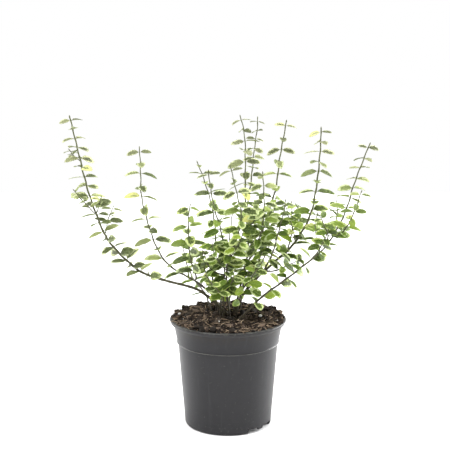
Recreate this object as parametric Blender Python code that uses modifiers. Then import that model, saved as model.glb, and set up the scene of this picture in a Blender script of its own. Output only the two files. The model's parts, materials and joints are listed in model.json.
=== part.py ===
# A potted variegated euonymus: arching leafy stems rooted in a round nursery pot.
# Metres, +Z up. The origin is the middle of the pot's underside, where it rests; -Y is the front.
import math
import random

import bmesh
import bpy
from mathutils import Matrix, Vector
from mathutils.bvhtree import BVHTree
from mathutils.geometry import interpolate_bezier

MM = 0.001
COLLECTION = "potted_euonymus"

# Pot
POT_HEIGHT = 0.140
LIP_RADIUS = 0.075
LIP_OVERHANG = 0.0045  # how far the lip stands out from the collar
LIP_DROP = 0.0052  # height of the lip's outer face
LIP_SLANT = 0.0014  # how far the lip's lower edge is drawn in
LIP_ROUND = 0.0016
LIP_GROOVE = 0.0024  # how far the lip's underside is hollowed
COLLAR_TOP_RADIUS = LIP_RADIUS - LIP_OVERHANG
COLLAR_HEIGHT = 0.031
COLLAR_TAPER = 0.0050
COLLAR_STEP = 0.0010  # the body sits this far inside the collar
BASE_RADIUS = 0.056
BASE_ROUND = 0.0030
WALL = 0.0012
FLOOR = 0.0015
SKIRT = 0.0070  # height of the rim under the floor, which the pot stands on
PAD_RADIUS = 0.020  # flat pad in the middle of the underside
PAD_SLOPE = 0.004
ROUND_STEPS = 32

# Drain notches through the skirt: (angle from the front towards the right, width, height).
# The small one leaves a short tooth between the two others, and all three are on both sides.
NOTCHES = ((35.0, 0.0145, 0.0064), (47.5, 0.0100, 0.0032), (63.5, 0.0225, 0.0064))
NOTCH_SIDES = (0.0, 180.0)
NOTCH_LEAN = 3.0
NOTCH_DEPTH = 0.008

# Soil
FIT_GAP = 0.0003  # between any two pieces that touch
SOIL_ABOVE_LIP = 0.0015
HEAP = 0.0050  # rise of the soil from the lip to the middle
CLUMP = 0.0016
CLUMP_PITCH = 0.0095
SOIL_RINGS = 6
SOCKET_DEPTH = 0.012

# Stems
TUBE_STEP = 0.014
TUBE_SIDES = 6
ABOVE_SOIL = 0.002

# Leaves
LEAF_ASPECT = 0.47  # width over length
LEAF_THICKNESS = 0.0008
LEAF_DROOP = 0.20
PETIOLE_RADIUS = 0.00045
TIP_SHARE = 0.70  # length of a tip leaf over a full-grown one
GROWN_AFTER = 0.045  # leaves are full-grown this far below the tip
OLD_EXTRA = 0.10  # the oldest leaves are this much longer still
OLD_AFTER = 0.150
LEAF_RISE = -6.0  # degrees above the stem's cross plane
RISE_SPREAD = 14.0
LEAF_ROLL = 26.0  # degrees that a blade may roll about its midrib
LEAN = 1.5  # how far the lowest leaves turn their faces outwards and to the front
LEAN_BELOW = 0.210  # the outward lean is gone this far above the lip
LEAN_LEAST = 0.50  # how far the highest leaves still face the front
HANG_LIFT = 0.75  # how far a leaf that would point down swings up,
HANG_SWING = 0.55  # and how far it swings forward along its stem
LEAF_CLEARANCE = 0.0012
TURN_ASIDE = (0.0, 28.0, -28.0, 56.0, -56.0)  # degrees that a crowded leaf swings round its stem

# Stations along a leaf from stem to tip: share of its length, share of its half width
LEAF_STATIONS = ((0.0, 0.0), (0.14, 0.0), (0.56, 1.0), (1.0, 0.0))

# Each stem in millimetres: root is where it leaves the soil, parent is the stem that it grows from,
# and route is (x, y, height above the lip). radius is (base, tip), bare is its leafless start,
# pair_gap the distance between leaf pairs, leaf the length of a full-grown leaf, and turn the
# angle of its tip pair round the stem.
STEMS = {
    "stem_left_outer": {
        "root": (-3, -8),
        "route": [(-13, -6, 19), (-40, -8, 40), (-83, -14, 54), (-114, -18, 68), (-149, -22, 105),
                  (-164, -20, 138), (-176, -14, 172), (-188, -4, 219), (-198, 6, 258)],
        "radius": (1.9, 0.8), "bare": 122, "pair_gap": 12.5, "leaf": 21, "turn": 35,
    },
    "stem_left_inner": {
        "root": (-8, 1),
        "route": [(-19, 2, 28), (-39, 14, 43), (-73, 34, 58), (-89, 42, 75), (-101, 48, 102),
                  (-113, 54, 147), (-114, 56, 181), (-115, 56, 212)],
        "radius": (1.5, 0.6), "bare": 72, "pair_gap": 15, "leaf": 22, "turn": 5,
    },
    "stem_centre_left": {
        "root": (-14, 8),
        "route": [(-18, 12, 30), (-20, 20, 46), (-18, 34, 67), (-16, 46, 95), (-21, 58, 134),
                  (-32, 66, 171), (-40, 70, 191)],
        "radius": (1.4, 0.6), "bare": 34, "pair_gap": 12.5, "leaf": 21.5, "turn": 80,
    },
    "stem_centre_front": {
        "root": (-10, -14),
        "route": [(-8, -16, 37), (-5, -19, 61), (-4, -22, 82), (-9, -30, 122), (-17, -34, 150),
                  (-23, -36, 185), (-24, -36, 196)],
        "radius": (1.4, 0.6), "bare": 36, "pair_gap": 12.5, "leaf": 21.5, "turn": 0,
    },
    "stem_front": {
        "root": (2, -16),
        "route": [(-1, -20, 34), (-2, -30, 68), (2, -40, 91), (11, -52, 117), (16, -62, 147),
                  (10, -70, 176), (3, -74, 207)],
        "radius": (1.4, 0.6), "bare": 40, "pair_gap": 13, "leaf": 21, "turn": 10,
    },
    "stem_centre": {
        "root": (8, 3),
        "route": [(15, 4, 36), (23, 9, 72), (26, 14, 100), (22, 18, 144), (22, 20, 199),
                  (21, 20, 233), (16, 20, 257)],
        "radius": (1.6, 0.6), "bare": 48, "pair_gap": 13, "leaf": 21, "turn": 15,
    },
    "stem_back_right": {
        "root": (15, 10),
        "route": [(19, 16, 36), (25, 34, 63), (41, 56, 85), (52, 76, 119), (64, 90, 153),
                  (69, 98, 191), (78, 104, 241)],
        "radius": (1.7, 0.8), "bare": 56, "pair_gap": 16.5, "leaf": 21, "turn": 0,
    },
    "stem_right": {
        "root": (8, -6),
        "route": [(17, -2, 28), (37, 0, 53), (63, 4, 76), (84, 10, 95), (105, 18, 130),
                  (114, 24, 173), (118, 26, 222), (118, 26, 241)],
        "radius": (2.1, 0.8), "bare": 84, "pair_gap": 12, "leaf": 22, "turn": 10,
    },
    "stem_right_outer": {
        "root": (14, -32),
        "route": [(23, -34, 17), (43, -36, 38), (74, -34, 61), (97, -32, 79), (117, -32, 96),
                  (132, -32, 117), (146, -34, 148), (155, -36, 181), (172, -40, 230)],
        "radius": (1.5, 0.7), "bare": 42, "pair_gap": 13, "leaf": 20, "turn": 28,
    },
    "shoot_base_front": {
        "root": (-6, -23),
        "route": [(-6, -34, 36), (-13, -50, 50), (-20, -62, 61), (-27, -70, 73)],
        "radius": (1.1, 0.6), "bare": 34, "pair_gap": 13, "leaf": 18, "turn": 40,
    },
    "shoot_base_left": {
        "root": (-22, 14),
        "route": [(-31, 38, 24), (-45, 60, 35), (-56, 76, 56), (-62, 84, 84)],
        "radius": (1.1, 0.6), "bare": 32, "pair_gap": 15, "leaf": 18, "turn": 20,
    },
    "shoot_base_right": {
        "root": (10, -17),
        "route": [(17, -34, 44), (26, -52, 62), (33, -64, 76), (41, -72, 91)],
        "radius": (1.1, 0.6), "bare": 34, "pair_gap": 13, "leaf": 18, "turn": 70,
    },
    "shoot_base_back": {
        "root": (1, 14),
        "route": [(4, 40, 32), (3, 64, 59), (2, 80, 85), (6, 92, 117)],
        "radius": (1.2, 0.6), "bare": 34, "pair_gap": 14, "leaf": 20, "turn": 0,
    },
    "shoot_base_back_right": {
        "root": (9, 19),
        "route": [(29, 44, 34), (46, 70, 57), (59, 86, 84), (70, 94, 107)],
        "radius": (1.2, 0.6), "bare": 36, "pair_gap": 15, "leaf": 20, "turn": 45,
    },
    "shoot_left_upright": {
        "parent": "stem_left_inner",
        "route": [(-38, 12, 46), (-41, 2, 56), (-47, -18, 81), (-49, -32, 110), (-49, -42, 140),
                  (-47, -46, 156)],
        "radius": (1.1, 0.6), "bare": 16, "pair_gap": 12.5, "leaf": 23, "turn": 20,
    },
    "shoot_centre_back": {
        "parent": "stem_centre",
        "route": [(23, 16, 118), (25, 36, 141), (30, 52, 169), (34, 64, 206), (38, 70, 234),
                  (39, 72, 249)],
        "radius": (1.0, 0.6), "bare": 20, "pair_gap": 12.5, "leaf": 17, "turn": 30,
    },
    "shoot_centre_low": {
        "parent": "stem_centre",
        "route": [(24, 10, 77), (35, -10, 97), (42, -30, 124), (44, -46, 159), (42, -56, 197)],
        "radius": (1.0, 0.6), "bare": 16, "pair_gap": 11.5, "leaf": 21, "turn": 65,
    },
    "shoot_right_inner": {
        "parent": "stem_right",
        "route": [(49, 2, 64), (56, -14, 88), (62, -26, 115), (68, -34, 142), (71, -38, 160)],
        "radius": (1.1, 0.6), "bare": 20, "pair_gap": 11.5, "leaf": 21, "turn": 25,
    },
    "shoot_right_low": {
        "parent": "stem_right",
        "route": [(47, 2, 62), (61, -14, 66), (75, -27, 76), (90, -38, 86)],
        "radius": (1.1, 0.6), "bare": 16, "pair_gap": 12, "leaf": 23, "turn": 60,
    },
    "shoot_right_upper": {
        "parent": "stem_right",
        "route": [(82, 10, 94), (83, 26, 108), (83, 38, 124), (83, 46, 142)],
        "radius": (1.1, 0.6), "bare": 12, "pair_gap": 11, "leaf": 20, "turn": 10,
    },
    "shoot_right_tip": {
        "parent": "stem_right_outer",
        "route": [(131, -32, 116), (142, -48, 124), (152, -62, 148), (160, -72, 177)],
        "radius": (0.9, 0.5), "bare": 14, "pair_gap": 12, "leaf": 19, "turn": 0,
    },
    "shoot_right_side": {
        "parent": "stem_right_outer",
        "route": [(133, -32, 120), (137, -12, 134), (138, -2, 141), (138, 6, 151)],
        "radius": (0.9, 0.5), "bare": 12, "pair_gap": 10.5, "leaf": 20, "turn": 40,
    },
    "shoot_left_low": {
        "parent": "stem_centre_left",
        "route": [(-20, 18, 36), (-27, 4, 56), (-31, -8, 73), (-32, -16, 91)],
        "radius": (0.9, 0.5), "bare": 12, "pair_gap": 11, "leaf": 21, "turn": 50,
    },
    "shoot_front_middle": {
        "parent": "stem_front",
        "route": [(1, -40, 87), (8, -52, 101), (14, -60, 112), (17, -66, 124)],
        "radius": (0.9, 0.5), "bare": 10, "pair_gap": 10, "leaf": 23, "turn": 35,
    },
    "shoot_centre_right": {
        "parent": "stem_centre",
        "route": [(26, 12, 94), (37, -2, 108), (46, -14, 124), (52, -22, 141)],
        "radius": (0.9, 0.5), "bare": 14, "pair_gap": 10, "leaf": 21, "turn": 10,
    },
    "shoot_right_crown": {
        "parent": "stem_right",
        "route": [(96, 15, 114), (93, 28, 128), (88, 38, 142)],
        "radius": (0.9, 0.5), "bare": 10, "pair_gap": 10, "leaf": 21, "turn": 70,
    },
    "shoot_outer_low": {
        "parent": "stem_right_outer",
        "route": [(103, -32, 83), (111, -46, 98), (117, -56, 113), (122, -62, 128)],
        "radius": (0.9, 0.5), "bare": 12, "pair_gap": 11, "leaf": 22, "turn": 20,
    },
    "shoot_outer_middle": {
        "parent": "stem_right_outer",
        "route": [(117, -32, 96), (112, -16, 106), (110, -6, 120), (113, 2, 136)],
        "radius": (0.9, 0.5), "bare": 12, "pair_gap": 11, "leaf": 21, "turn": 55,
    },
    "shoot_crown_front": {
        "parent": "stem_right",
        "route": [(88, 12, 100), (82, -6, 118), (76, -20, 136), (72, -26, 150)],
        "radius": (0.9, 0.5), "bare": 12, "pair_gap": 10, "leaf": 21, "turn": 30,
    },
    "shoot_crown_back": {
        "parent": "stem_back_right",
        "route": [(46, 66, 100), (54, 50, 116), (60, 38, 134), (62, 30, 152)],
        "radius": (0.9, 0.5), "bare": 12, "pair_gap": 10, "leaf": 21, "turn": 60,
    },
    "shoot_crown_middle": {
        "parent": "stem_centre",
        "route": [(25, 15, 112), (32, -4, 126), (34, -18, 140), (34, -24, 156)],
        "radius": (0.9, 0.5), "bare": 12, "pair_gap": 10, "leaf": 21, "turn": 80,
    },
    "shoot_outer_front": {
        "parent": "stem_right_outer",
        "route": [(126, -32, 108), (123, -46, 120), (117, -54, 134), (112, -58, 144)],
        "radius": (0.9, 0.5), "bare": 10, "pair_gap": 10, "leaf": 21, "turn": 45,
    },
    "shoot_front_left": {
        "parent": "stem_front",
        "route": [(-2, -32, 74), (-12, -44, 86), (-18, -52, 100), (-20, -56, 112)],
        "radius": (0.9, 0.5), "bare": 10, "pair_gap": 11, "leaf": 19, "turn": 20,
    },
    "shoot_middle_left": {
        "parent": "stem_centre_front",
        "route": [(-6, -19, 58), (-18, -28, 68), (-26, -34, 80), (-30, -36, 94)],
        "radius": (0.9, 0.5), "bare": 12, "pair_gap": 12, "leaf": 19, "turn": 70,
    },
    "shoot_low_right": {
        "parent": "stem_centre",
        "route": [(19, 6, 54), (29, -12, 66), (37, -28, 78), (42, -38, 94)],
        "radius": (0.9, 0.5), "bare": 14, "pair_gap": 11, "leaf": 19, "turn": 35,
    },
    "shoot_low_front": {
        "parent": "stem_centre_front",
        "route": [(-8, -16, 38), (0, -32, 48), (5, -46, 60), (8, -56, 76)],
        "radius": (0.9, 0.5), "bare": 12, "pair_gap": 11, "leaf": 18, "turn": 55,
    },
    "twig_left_back": {
        "parent": "stem_left_outer",
        "route": [(-170, -17, 141), (-180, -28, 158), (-190, -34, 172)],
        "radius": (0.7, 0.5), "bare": 10, "pair_gap": 9, "leaf": 16, "turn": 60,
    },
    "twig_left_middle": {
        "parent": "stem_left_outer",
        "route": [(-164, -20, 140), (-160, -32, 152), (-157, -38, 164)],
        "radius": (0.7, 0.5), "bare": 10, "pair_gap": 9, "leaf": 17, "turn": 0,
    },
    "twig_left_low": {
        "parent": "stem_left_outer",
        "route": [(-157, -21, 122), (-150, -10, 135), (-145, -4, 146)],
        "radius": (0.7, 0.5), "bare": 9, "pair_gap": 9, "leaf": 21, "turn": 10,
    },
    "twig_left_high": {
        "parent": "stem_left_outer",
        "route": [(-185, -8, 203), (-193, 5, 209), (-201, 14, 216)],
        "radius": (0.7, 0.5), "bare": 10, "pair_gap": 8, "leaf": 15, "turn": 30,
    },
}

POT_FINISH = ("pot_plastic", (0.055, 0.056, 0.058, 1.0), 0.5)
SOIL_FINISH = ("soil_peat", (0.045, 0.028, 0.020, 1.0), 0.95)
STEM_FINISH = ("leaf_variegated", (0.20, 0.33, 0.06, 1.0), 0.5)


def clear_scene():
    for obj in list(bpy.data.objects):
        bpy.data.objects.remove(obj, do_unlink=True)


def new_collection(name):
    collection = bpy.data.collections.new(name)
    bpy.context.scene.collection.children.link(collection)
    return collection


def new_material(finish):
    name, colour, roughness = finish
    material = bpy.data.materials.new(name)
    material.use_nodes = True
    shader = material.node_tree.nodes["Principled BSDF"]
    shader.inputs["Base Color"].default_value = colour
    shader.inputs["Roughness"].default_value = roughness
    shader.inputs["Metallic"].default_value = 0.0
    return material


def new_object(name, mesh, collection):
    obj = bpy.data.objects.new(name, mesh)
    collection.objects.link(obj)
    return obj


def make_cutter(obj):
    obj.hide_render = True
    obj.display_type = "WIRE"
    return obj


def baked_mesh(obj):
    """The object's mesh with its modifiers or curve bevel applied, and its seams welded."""
    graph = bpy.context.evaluated_depsgraph_get()
    mesh = bpy.data.meshes.new_from_object(obj.evaluated_get(graph))
    work = bmesh.new()
    work.from_mesh(mesh)
    bmesh.ops.remove_doubles(work, verts=work.verts, dist=0.00001)
    work.to_mesh(mesh)
    work.free()
    return mesh


def add_boolean(obj, cutter, operation):
    modifier = obj.modifiers.new(operation.lower(), "BOOLEAN")
    modifier.operation = operation
    modifier.object = cutter


def turned(name, profile, collection):
    """A round body from (radius, height) points that run down its outer side."""
    mesh = bpy.data.meshes.new(name)
    points = [(radius, 0.0, height) for radius, height in profile]
    edges = [(i, i + 1) for i in range(len(points) - 1)]
    mesh.from_pydata(points, edges, [])
    obj = new_object(name, mesh, collection)
    screw = obj.modifiers.new("turn", "SCREW")
    screw.steps = ROUND_STEPS
    screw.render_steps = ROUND_STEPS
    screw.use_merge_vertices = True
    screw.merge_threshold = 0.00001
    return obj


# Pot -------------------------------------------------------------------------------------------

def pot_outside():
    """The outer side, from the lip's inner top corner down to the middle of the underside."""
    lip_bottom = POT_HEIGHT - LIP_DROP
    collar_bottom = POT_HEIGHT - COLLAR_HEIGHT
    body_radius = COLLAR_TOP_RADIUS - COLLAR_TAPER - COLLAR_STEP
    return [
        (COLLAR_TOP_RADIUS - WALL, POT_HEIGHT),
        (LIP_RADIUS - LIP_ROUND, POT_HEIGHT),
        (LIP_RADIUS - LIP_ROUND * 0.3, POT_HEIGHT - LIP_ROUND * 0.3),
        (LIP_RADIUS, POT_HEIGHT - LIP_ROUND),
        (LIP_RADIUS - LIP_SLANT, lip_bottom),
        (LIP_RADIUS - LIP_SLANT - WALL, lip_bottom),
        (COLLAR_TOP_RADIUS + WALL * 0.5, lip_bottom + LIP_GROOVE),
        (COLLAR_TOP_RADIUS, lip_bottom + LIP_GROOVE * 0.5),
        (COLLAR_TOP_RADIUS - COLLAR_TAPER, collar_bottom),
        (body_radius, collar_bottom - COLLAR_STEP * 0.5),
        (BASE_RADIUS, BASE_ROUND),
        (BASE_RADIUS - BASE_ROUND * 0.3, BASE_ROUND * 0.3),
        (BASE_RADIUS - BASE_ROUND, 0.0),
        (BASE_RADIUS - BASE_ROUND - WALL, 0.0),
        (BASE_RADIUS - WALL, BASE_ROUND),
        (BASE_RADIUS - WALL, SKIRT),
        (PAD_RADIUS + PAD_SLOPE, SKIRT),
        (PAD_RADIUS, 0.0),
        (0.0, 0.0),
    ]


def pot_inside(gap):
    """The inner side from the middle of the floor to the lip, moved into the pot by gap."""
    floor = FLOOR + gap
    side = WALL + gap
    body_radius = COLLAR_TOP_RADIUS - COLLAR_TAPER - COLLAR_STEP
    return [
        (0.0, floor),
        (PAD_RADIUS - gap, floor),
        (PAD_RADIUS + PAD_SLOPE - gap, floor + SKIRT),
        (BASE_RADIUS - side, floor + SKIRT),
        (body_radius - side, POT_HEIGHT - COLLAR_HEIGHT - COLLAR_STEP),
        (COLLAR_TOP_RADIUS - COLLAR_TAPER - side, POT_HEIGHT - COLLAR_HEIGHT),
    ]


def notch_cutter(angle, width, height, cutters):
    bpy.ops.mesh.primitive_cube_add(size=1.0)
    cutter = bpy.context.object
    cutter.name = "notch_cutter"
    for owner in list(cutter.users_collection):
        owner.objects.unlink(cutter)
    cutters.objects.link(cutter)
    turn = Matrix.Rotation(math.radians(angle), 4, "Z")
    out = Vector((0.0, -(BASE_RADIUS + WALL - NOTCH_DEPTH * 0.5), 0.0))
    lean = Matrix.Rotation(math.radians(NOTCH_LEAN), 4, "Y")
    size = Matrix.Diagonal((width, NOTCH_DEPTH, height * 2, 1.0))
    cutter.data.transform(turn @ Matrix.Translation(out) @ lean @ size)
    return make_cutter(cutter)


def build_pot(collection, cutters):
    pot = turned("nursery_pot", pot_inside(0.0) + pot_outside(), collection)
    for side in NOTCH_SIDES:
        for angle, width, height in NOTCHES:
            add_boolean(pot, notch_cutter(angle + side, width, height, cutters), "DIFFERENCE")
    pot.data.materials.append(new_material(POT_FINISH))
    return pot


# Soil ------------------------------------------------------------------------------------------

def soil_rim_radius():
    return COLLAR_TOP_RADIUS - WALL - FIT_GAP


def soil_height(x, y):
    """The heaped, clumpy top of the soil."""
    share = min(1.0, math.hypot(x, y) / soil_rim_radius())
    clumps = math.sin(x / CLUMP_PITCH + 0.6) * math.cos(y / CLUMP_PITCH - 0.4)
    edge = 1.0 - share ** 4
    return POT_HEIGHT + SOIL_ABOVE_LIP + HEAP * (1.0 - share ** 2) + CLUMP * clumps * edge


def socket_cutter(name, cutters):
    """A round hole in the soil that a stem stands in."""
    spec = STEMS[name]
    x, y = (value * MM for value in spec["root"])
    radius = spec["radius"][0] * MM + FIT_GAP
    bottom = soil_height(x, y) - SOCKET_DEPTH - FIT_GAP
    top = soil_height(x, y) + HEAP
    bpy.ops.mesh.primitive_cylinder_add(vertices=8, radius=radius / math.cos(math.pi / 8), depth=top - bottom)
    cutter = bpy.context.object
    cutter.name = "socket_" + name
    for owner in list(cutter.users_collection):
        owner.objects.unlink(cutter)
    cutters.objects.link(cutter)
    cutter.data.transform(Matrix.Translation((x, y, (top + bottom) * 0.5)))
    return make_cutter(cutter)


def build_soil(collection, cutters):
    rim = soil_rim_radius()
    top = [(rim * (1.0 - i / SOIL_RINGS), POT_HEIGHT + SOIL_ABOVE_LIP) for i in range(SOIL_RINGS + 1)]
    outline = pot_inside(FIT_GAP) + top
    draft = turned("potting_soil_draft", outline[::-1], collection)
    mesh = baked_mesh(draft)
    bpy.data.objects.remove(draft, do_unlink=True)
    for vert in mesh.vertices:
        if vert.co.z > POT_HEIGHT + SOIL_ABOVE_LIP - FIT_GAP:
            vert.co.z = soil_height(vert.co.x, vert.co.y)
    work = bmesh.new()
    work.from_mesh(mesh)
    bmesh.ops.recalc_face_normals(work, faces=work.faces)
    work.to_mesh(mesh)
    work.free()
    soil = new_object("potting_soil", mesh, collection)
    for name, spec in STEMS.items():
        if "root" in spec:
            add_boolean(soil, socket_cutter(name, cutters), "DIFFERENCE")
    soil.data.materials.append(new_material(SOIL_FINISH))
    return soil


# Stems -----------------------------------------------------------------------------------------

def smooth_path(points, per_span=8):
    """A smooth curve through the points, as a list of places close together."""
    ends = [points[0] * 2 - points[1]] + points + [points[-1] * 2 - points[-2]]
    path = [points[0]]
    for before, start, end, after in zip(ends, ends[1:], ends[2:], ends[3:]):
        leave = start + (end - before) / 6
        arrive = end - (after - start) / 6
        path += interpolate_bezier(start, leave, arrive, end, per_span + 1)[1:]
    return path


def path_length(path):
    return sum((b - a).length for a, b in zip(path, path[1:]))


def walk(path, distance):
    """The place and direction at a distance along the path."""
    for a, b in zip(path, path[1:]):
        span = (b - a).length
        if distance <= span:
            return a.lerp(b, distance / span), (b - a).normalized()
        distance -= span
    return path[-1], (path[-1] - path[-2]).normalized()


def stem_radius(spec, share):
    base, tip = spec["radius"]
    return (base + (tip - base) * share) * MM


def route_points(spec):
    return [Vector((x * MM, y * MM, POT_HEIGHT + height * MM)) for x, y, height in spec["route"]]


def even_steps(path):
    """The same path with points about TUBE_STEP apart, which the tube and its leaves share."""
    length = path_length(path)
    steps = math.ceil(length / TUBE_STEP)
    return [walk(path, length * i / steps)[0] for i in range(steps + 1)]


def rooted_path(spec):
    x, y = (value * MM for value in spec["root"])
    surface = Vector((x, y, soil_height(x, y)))
    bottom = surface - Vector((0.0, 0.0, SOCKET_DEPTH))
    collar = surface + Vector((0.0, 0.0, ABOVE_SOIL))
    return [bottom] + even_steps(smooth_path([collar] + route_points(spec)))


def branching_path(spec, parent_spec, parent_path):
    """A side shoot starts beside its parent's surface, where its route comes nearest."""
    points = route_points(spec)
    nearest = min(range(1, len(parent_path) - 1), key=lambda i: (parent_path[i] - points[0]).length)
    joint = parent_path[nearest]
    along = (parent_path[nearest + 1] - joint).normalized()
    share = path_length(parent_path[:nearest + 1]) / path_length(parent_path)
    side = points[1] - joint
    side = (side - along * side.dot(along)).normalized()
    offset = stem_radius(parent_spec, share) + stem_radius(spec, 0.0) + FIT_GAP
    return even_steps(smooth_path([joint + side * offset] + points[1:]))


def all_paths():
    paths = {name: rooted_path(spec) for name, spec in STEMS.items() if "root" in spec}
    for name, spec in STEMS.items():
        if "parent" in spec:
            parent = spec["parent"]
            paths[name] = branching_path(spec, STEMS[parent], paths[parent])
    return paths


def tube_mesh(name, spec, path):
    """A tapering tube along the path, with flat ends."""
    length = path_length(path)
    curve = bpy.data.curves.new(name, "CURVE")
    curve.dimensions = "3D"
    curve.bevel_depth = 1.0
    curve.bevel_resolution = TUBE_SIDES // 2 - 2
    curve.use_fill_caps = True
    spline = curve.splines.new("POLY")
    spline.points.add(len(path) - 1)
    for i, (point, place) in enumerate(zip(spline.points, path)):
        point.co = (*place, 1.0)
        point.radius = stem_radius(spec, path_length(path[:i + 1]) / length)
    obj = new_object(name, curve, bpy.context.scene.collection)
    mesh = baked_mesh(obj)
    bpy.data.objects.remove(obj, do_unlink=True)
    bpy.data.curves.remove(curve)
    return mesh


# Leaves ----------------------------------------------------------------------------------------

def leaf_mesh(length):
    """A keeled, drooping blade on a short stalk, along +X with its upper face to +Z."""
    mesh = bpy.data.meshes.new("leaf")
    work = bmesh.new()
    bmesh.ops.create_uvsphere(work, u_segments=3, v_segments=len(LEAF_STATIONS) - 1, radius=1.0)
    for vert in work.verts:
        turn = math.acos(max(-1.0, min(1.0, vert.co.z))) / math.pi
        along, wide = LEAF_STATIONS[round(turn * (len(LEAF_STATIONS) - 1))]
        round_part = vert.co.xy.normalized() if vert.co.xy.length > 0.01 else Vector((0.0, 0.0))
        half_width = PETIOLE_RADIUS + wide * (length * LEAF_ASPECT * 0.5 - PETIOLE_RADIUS)
        y = round_part.y / math.sin(math.pi / 3) * half_width
        z = -round_part.x * LEAF_THICKNESS * 0.6
        vert.co = (along * length, y, z - LEAF_DROOP * length * along ** 2)
    bmesh.ops.recalc_face_normals(work, faces=work.faces)
    work.to_mesh(mesh)
    work.free()
    return mesh


def leaf_nodes(name, spec, path):
    """Yields (place, direction, side, distance below the tip) for each leaf pair, from the tip down."""
    chance = random.Random(name)
    length = path_length(path)
    bare = spec["bare"] * MM
    gap = spec["pair_gap"] * MM
    below_tip = gap * 0.3
    side = Vector((1.0, 0.0, 0.0))
    turn = spec["turn"]
    while below_tip < length - bare:
        place, along = walk(path, length - below_tip)
        side = (side - along * side.dot(along)).normalized()
        swing = Matrix.Rotation(math.radians(turn + chance.uniform(-14, 14)), 3, along)
        yield place, along, swing @ side, below_tip
        turn += 90.0
        below_tip += gap * chance.uniform(0.88, 1.12)


def leaf_length(spec, below_tip, chance):
    grown = TIP_SHARE + (1.0 - TIP_SHARE) * min(1.0, below_tip / GROWN_AFTER)
    old = OLD_EXTRA * min(1.0, below_tip / OLD_AFTER)
    return spec["leaf"] * MM * (grown + old) * chance.uniform(0.88, 1.1)


def leaf_matrix(place, along, outward, radius, rise, roll):
    """Puts a leaf on its stem: it leaves along outward, tilted by rise, with its face up.
    Leaves turn their faces to the front, where the light is, and low ones outwards as well."""
    hang = max(0.0, -outward.z)
    heading = outward * math.cos(rise) + along * (math.sin(rise) + HANG_SWING * hang)
    heading = (heading + Vector((0.0, 0.0, HANG_LIFT * hang))).normalized()
    lean = LEAN * max(0.0, 1.0 - (place.z - POT_HEIGHT) / LEAN_BELOW)
    light = Vector((place.x, place.y, 0.0)).normalized() * lean
    light += Vector((0.0, -1.0, 0.0)) * max(LEAN_LEAST, lean)
    up = Vector((0.0, 0.0, 1.0)) + along * 0.4 + light
    face = (up - heading * up.dot(heading)).normalized()
    face = Matrix.Rotation(math.radians(roll), 3, heading) @ face
    axes = Matrix((heading, face.cross(heading), face)).transposed().to_4x4()
    return Matrix.Translation(place + outward * radius * 0.3) @ axes


def collision_tree(mesh, swell=0.0):
    corners = [v.co + v.normal * swell for v in mesh.vertices]
    return BVHTree.FromPolygons(corners, [tuple(p.vertices) for p in mesh.polygons])


def fit_leaf(leaf, place, along, outward, radius, rise, roll, obstacles):
    """The first placing of a leaf, swung aside where it must be, that stays clear of everything."""
    for angle in TURN_ASIDE:
        swung = Matrix.Rotation(math.radians(angle), 3, along) @ outward
        trial = leaf.copy()
        trial.transform(leaf_matrix(place, along, swung, radius, rise, roll))
        tree = collision_tree(trial, LEAF_CLEARANCE)
        if not any(tree.overlap(other) for other in obstacles):
            return trial
    return None


def leaves_of(name, spec, path, obstacles):
    chance = random.Random(name + "_leaves")
    length = path_length(path)
    placed = []
    for place, along, side, below_tip in leaf_nodes(name, spec, path):
        radius = stem_radius(spec, 1.0 - below_tip / length)
        pair = []
        for outward in (side, -side):
            leaf = leaf_mesh(leaf_length(spec, below_tip, chance))
            rise = math.radians(LEAF_RISE + chance.uniform(-RISE_SPREAD, RISE_SPREAD))
            roll = chance.uniform(-LEAF_ROLL, LEAF_ROLL)
            pair.append(fit_leaf(leaf, place, along, outward, radius, rise, roll, obstacles))
        placed += [leaf for leaf in pair if leaf]
        obstacles += [collision_tree(leaf) for leaf in pair if leaf]
    return placed


def join_meshes(name, meshes):
    work = bmesh.new()
    for mesh in meshes:
        work.from_mesh(mesh)
    joined = bpy.data.meshes.new(name)
    work.to_mesh(joined)
    work.free()
    return joined


def build_stems(collection, cutters, ground):
    paths = all_paths()
    tubes = {name: tube_mesh(name, spec, paths[name]) for name, spec in STEMS.items()}
    trees = {name: collision_tree(tube) for name, tube in tubes.items()}
    finish = new_material(STEM_FINISH)
    leaf_trees = []
    for name, spec in STEMS.items():
        others = [tree for other, tree in trees.items() if other != name]
        obstacles = [ground] + others + leaf_trees
        first_new = len(obstacles)
        leaves = leaves_of(name, spec, paths[name], obstacles)
        leaf_trees += obstacles[first_new:]
        stem = new_object(name, tubes[name], collection)
        foliage = make_cutter(new_object(name + "_leaves", join_meshes(name + "_leaves", leaves), cutters))
        add_boolean(stem, foliage, "UNION")
        stem.data.materials.append(finish)


def main():
    clear_scene()
    collection = new_collection(COLLECTION)
    cutters = new_collection("cutters")
    build_pot(collection, cutters)
    soil = build_soil(collection, cutters)
    build_stems(collection, cutters, collision_tree(soil.data))


main()
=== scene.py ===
import json
import math
import random

import bmesh
import bpy
from mathutils import Matrix, Vector, kdtree
from mathutils.bvhtree import BVHTree
from mathutils.geometry import interpolate_bezier

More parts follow.
